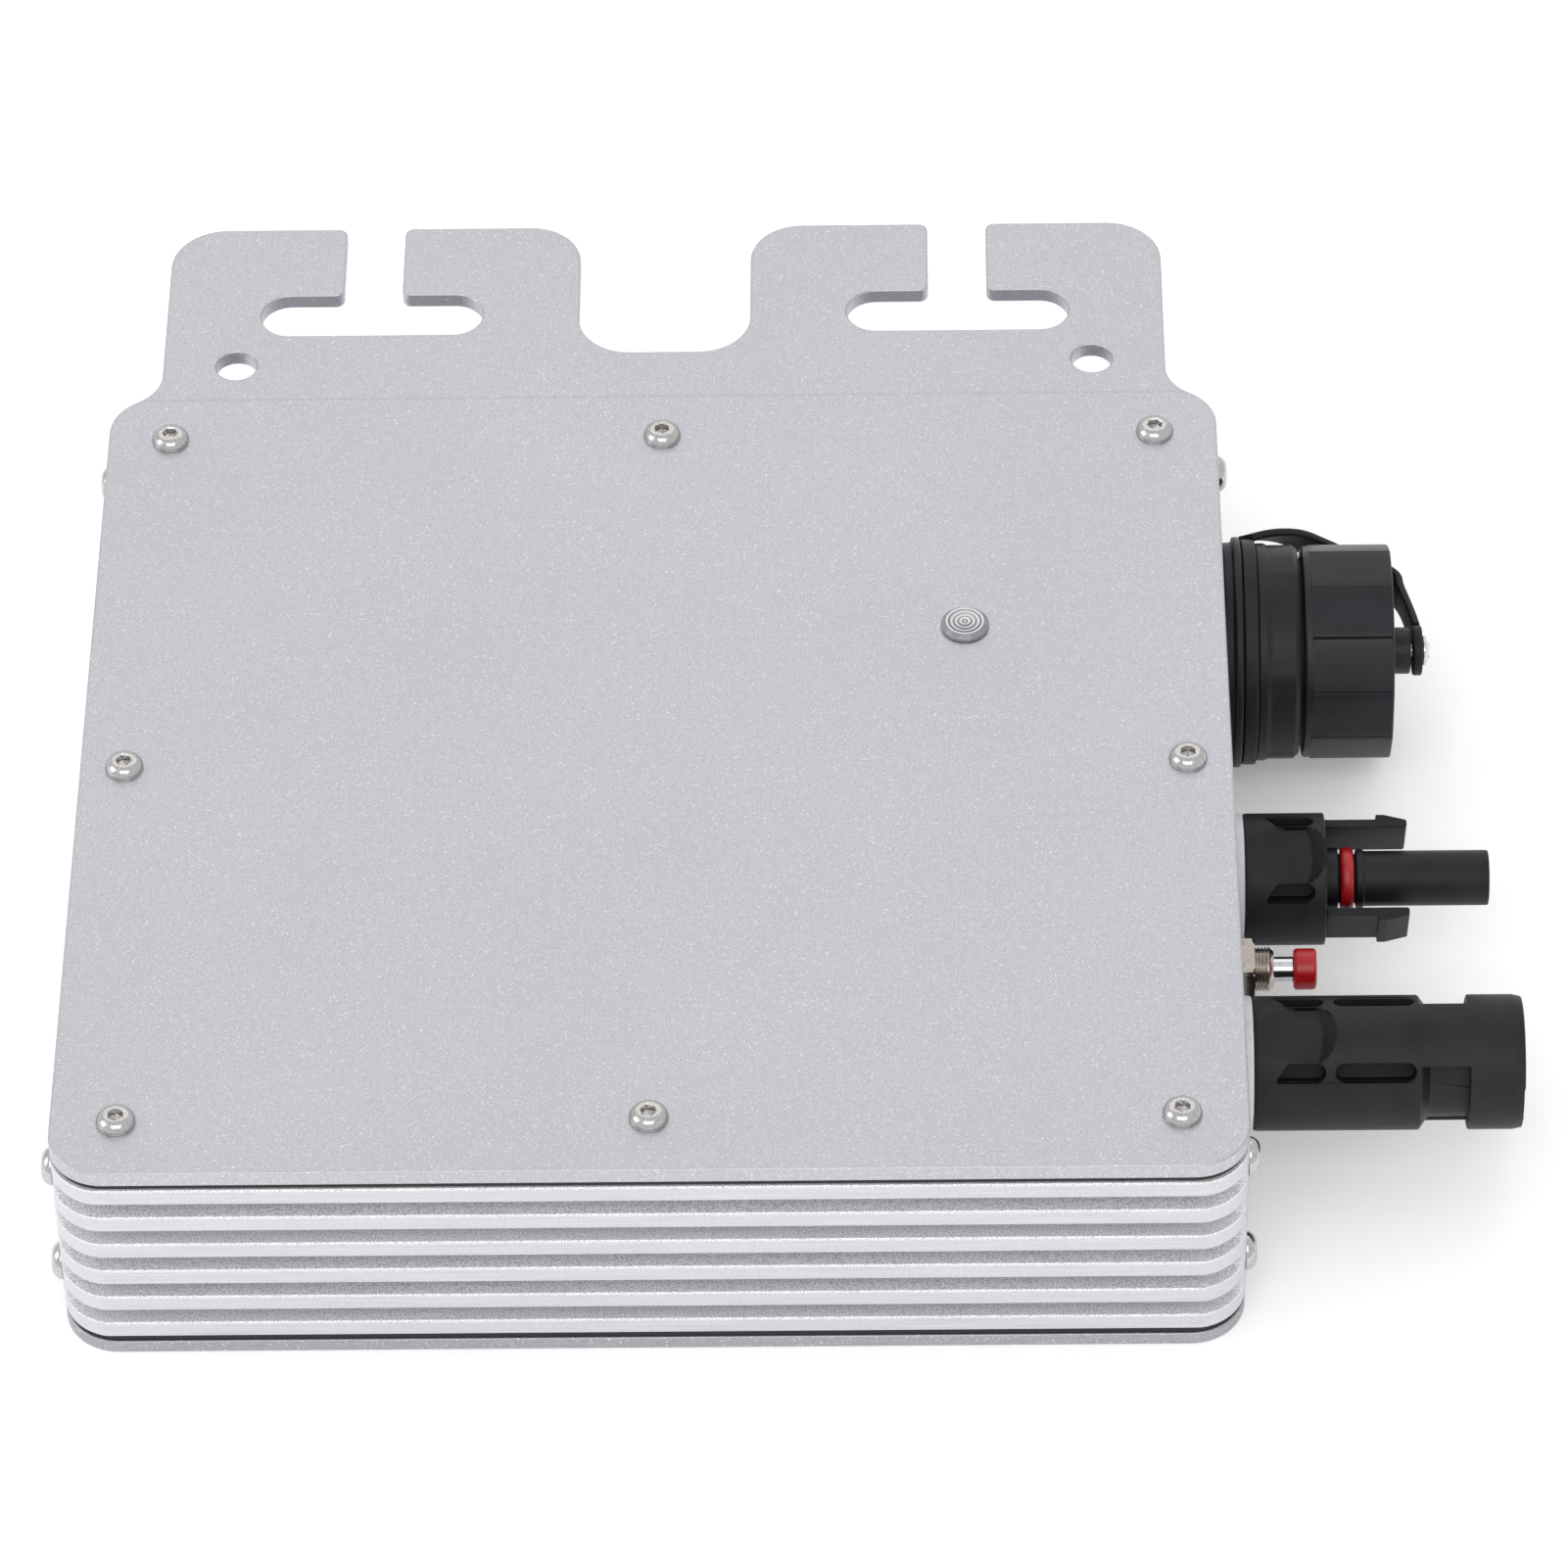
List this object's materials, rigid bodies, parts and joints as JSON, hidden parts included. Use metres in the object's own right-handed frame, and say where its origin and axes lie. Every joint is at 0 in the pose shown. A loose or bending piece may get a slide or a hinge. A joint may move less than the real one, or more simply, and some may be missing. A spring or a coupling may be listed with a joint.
{
  "type": "grid-tie micro inverter",
  "caption": "Flat finned aluminium micro inverter with a slotted mounting flange, a capped AC receptacle, two DC connectors and a push button.",
  "frame": {"origin": "centre of the base cover's outer face", "axes": "+X to the end plate that carries the connectors, +Y to the mounting flange, +Z out of the top cover"},
  "size_m": [0.2127, 0.2012, 0.0399],
  "materials": {
    "anodised_aluminium": "bead-blasted and clear anodised",
    "extruded_aluminium": "extruded and clear anodised",
    "end_plate_aluminium": "bead-blasted and clear anodised",
    "gasket_rubber": "matt",
    "clear_polycarbonate": "clear gloss",
    "stainless_steel": "bright",
    "receptacle_plastic": "satin moulded",
    "contact_insert_plastic": "satin moulded",
    "cap_plastic": "satin moulded",
    "cap_seal_rubber": "matt",
    "tether_elastomer": "satin moulded",
    "bright_steel": "bright",
    "dc_plastic": "fine spark-eroded texture",
    "nut_plastic": "satin moulded",
    "seal_silicone": "matt",
    "red_silicone": "satin",
    "tinned_contact": "tin plated",
    "nickel_plated_brass": "nickel plated",
    "red_button_plastic": "gloss",
    "spring_steel": "drawn",
    "solder_mask": "solder mask",
    "ferrite": "matt",
    "copper_winding": "enamelled wire",
    "capacitor_sleeve": "sleeved",
    "film_capacitor_case": "moulded",
    "transistor_epoxy": "moulded"
  },
  "bodies": {
    "housing": {"top_cover": "anodised_aluminium", "bottom_cover": "anodised_aluminium", "front_heatsink_rail": "extruded_aluminium", "rear_heatsink_rail": "extruded_aluminium", "left_end_plate": "end_plate_aluminium", "right_end_plate": "end_plate_aluminium", "top_gasket": "gasket_rubber", "bottom_gasket": "gasket_rubber", "status_lens": "clear_polycarbonate", "cover_screw_1": "stainless_steel", "cover_screw_2": "stainless_steel", "cover_screw_3": "stainless_steel", "cover_screw_4": "stainless_steel", "cover_screw_5": "stainless_steel", "cover_screw_6": "stainless_steel", "cover_screw_7": "stainless_steel", "cover_screw_8": "stainless_steel", "end_screw_1": "stainless_steel", "end_screw_2": "stainless_steel", "end_screw_3": "stainless_steel", "end_screw_4": "stainless_steel", "end_screw_5": "stainless_steel", "end_screw_6": "stainless_steel", "end_screw_7": "stainless_steel", "end_screw_8": "stainless_steel", "base_screw_1": "stainless_steel", "base_screw_2": "stainless_steel", "base_screw_3": "stainless_steel", "base_screw_4": "stainless_steel", "ac_receptacle": "receptacle_plastic", "ac_locknut": "receptacle_plastic", "ac_contact_insert": "contact_insert_plastic", "ac_strap": "tether_elastomer", "dc_plug_housing": "dc_plastic", "dc_socket_shell": "dc_plastic", "dc_plug_nut": "nut_plastic", "dc_socket_nut": "nut_plastic", "dc_plug_seal": "seal_silicone", "dc_socket_seal": "seal_silicone", "dc_plug_o_ring": "red_silicone", "dc_plug_contact": "tinned_contact", "dc_socket_contact": "tinned_contact", "button_bushing": "nickel_plated_brass", "button_nut": "nickel_plated_brass", "button_spring": "spring_steel", "main_board": "solder_mask", "transformer_core": "ferrite", "transformer_winding": "copper_winding", "output_choke": "copper_winding", "input_capacitor_1": "capacitor_sleeve", "input_capacitor_2": "capacitor_sleeve", "film_capacitor": "film_capacitor_case", "power_transistors": "transistor_epoxy"},
    "cap_carrier": {"ac_strap_tab": "tether_elastomer"},
    "ac_cap": {"ac_cap": "cap_plastic", "ac_cap_seal": "cap_seal_rubber", "ac_strap_screw": "bright_steel"},
    "button": {"button_plunger": "red_button_plastic"},
    "latch_rear": {"dc_latch_rear": "dc_plastic"},
    "latch_front": {"dc_latch_front": "dc_plastic"}
  },
  "joints": [
    {"name": "cap_turn", "type": "hinge", "parent": "cap_carrier", "child": "ac_cap", "pos_m": [0.1, 0.0421, 0.01885], "axis": [1, 0, 0], "range_deg": [0, 720]},
    {"name": "cap_feed", "type": "slide", "parent": "housing", "child": "cap_carrier", "axis": [1, 0, 0], "range_m": [0, 0.005], "deforming": ["ac_strap"]},
    {"name": "button_press", "type": "slide", "parent": "housing", "child": "button", "axis": [-1, 0, 0], "range_m": [0, 0.002], "stiffness_N_per_m": 300, "springref_m": -0.002, "deforming": ["button_spring"]},
    {"name": "latch_rear_flex", "type": "hinge", "parent": "housing", "child": "latch_rear", "pos_m": [0.099, 0.00032, 0.0213], "axis": [0, 0.342, -0.9397], "range_deg": [0, 4], "stiffness_Nm_per_rad": 2},
    {"name": "latch_front_flex", "type": "hinge", "parent": "housing", "child": "latch_front", "pos_m": [0.099, -0.01312, 0.0164], "axis": [0, -0.342, 0.9397], "range_deg": [0, 4], "stiffness_Nm_per_rad": 2}
  ],
  "couplings": [
    {"joint": "cap_feed", "follows": "cap_turn", "m_per_rad": 0.00039788}
  ]
}
